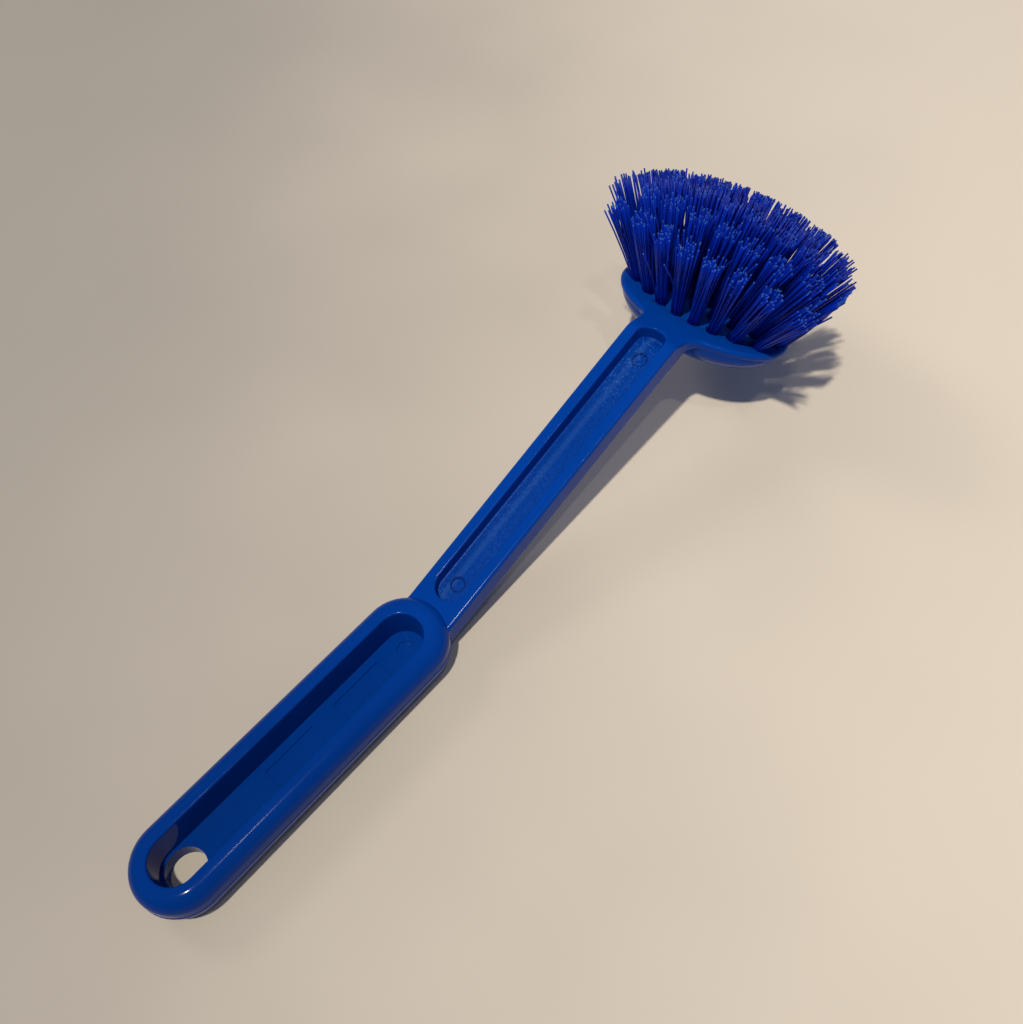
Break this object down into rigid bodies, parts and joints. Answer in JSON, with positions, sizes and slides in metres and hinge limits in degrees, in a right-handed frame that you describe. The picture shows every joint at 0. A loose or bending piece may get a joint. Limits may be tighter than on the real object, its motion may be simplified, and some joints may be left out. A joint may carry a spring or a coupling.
{
  "type": "dish brush",
  "caption": "Long-handled dish brush with a recessed grip, a hanging hole, a rising neck and an oval head of fanned bristle tufts.",
  "frame": {"origin": "axis of the hanging hole at the flat back of the grip", "axes": "+X along the handle from the butt to the head, +Y across it to the left, +Z out of the flat back towards the bristle side"},
  "size_m": [0.2788, 0.0874, 0.0705],
  "materials": {
    "handle_plastic": "glossy moulded blue with a fine spark texture in the neck recess",
    "bristle": "satin blue filament with paler cut tips",
    "anchor_metal": "plain bright strip"
  },
  "bodies": {
    "root": {"handle": "handle_plastic", "tuft_01": "bristle", "tuft_02": "bristle", "tuft_03": "bristle", "tuft_04": "bristle", "tuft_05": "bristle", "tuft_06": "bristle", "tuft_07": "bristle", "tuft_08": "bristle", "tuft_09": "bristle", "tuft_10": "bristle", "tuft_11": "bristle", "tuft_12": "bristle", "tuft_13": "bristle", "tuft_14": "bristle", "tuft_15": "bristle", "tuft_16": "bristle", "tuft_17": "bristle", "tuft_18": "bristle", "tuft_19": "bristle", "tuft_20": "bristle", "tuft_21": "bristle", "tuft_22": "bristle", "tuft_23": "bristle", "tuft_24": "bristle", "tuft_25": "bristle", "tuft_26": "bristle", "tuft_27": "bristle", "tuft_28": "bristle", "tuft_29": "bristle", "tuft_30": "bristle", "tuft_31": "bristle", "tuft_32": "bristle", "tuft_33": "bristle", "tuft_34": "bristle", "tuft_35": "bristle", "tuft_36": "bristle", "tuft_37": "bristle", "anchor_staples": "anchor_metal"}
  },
  "joints": []
}
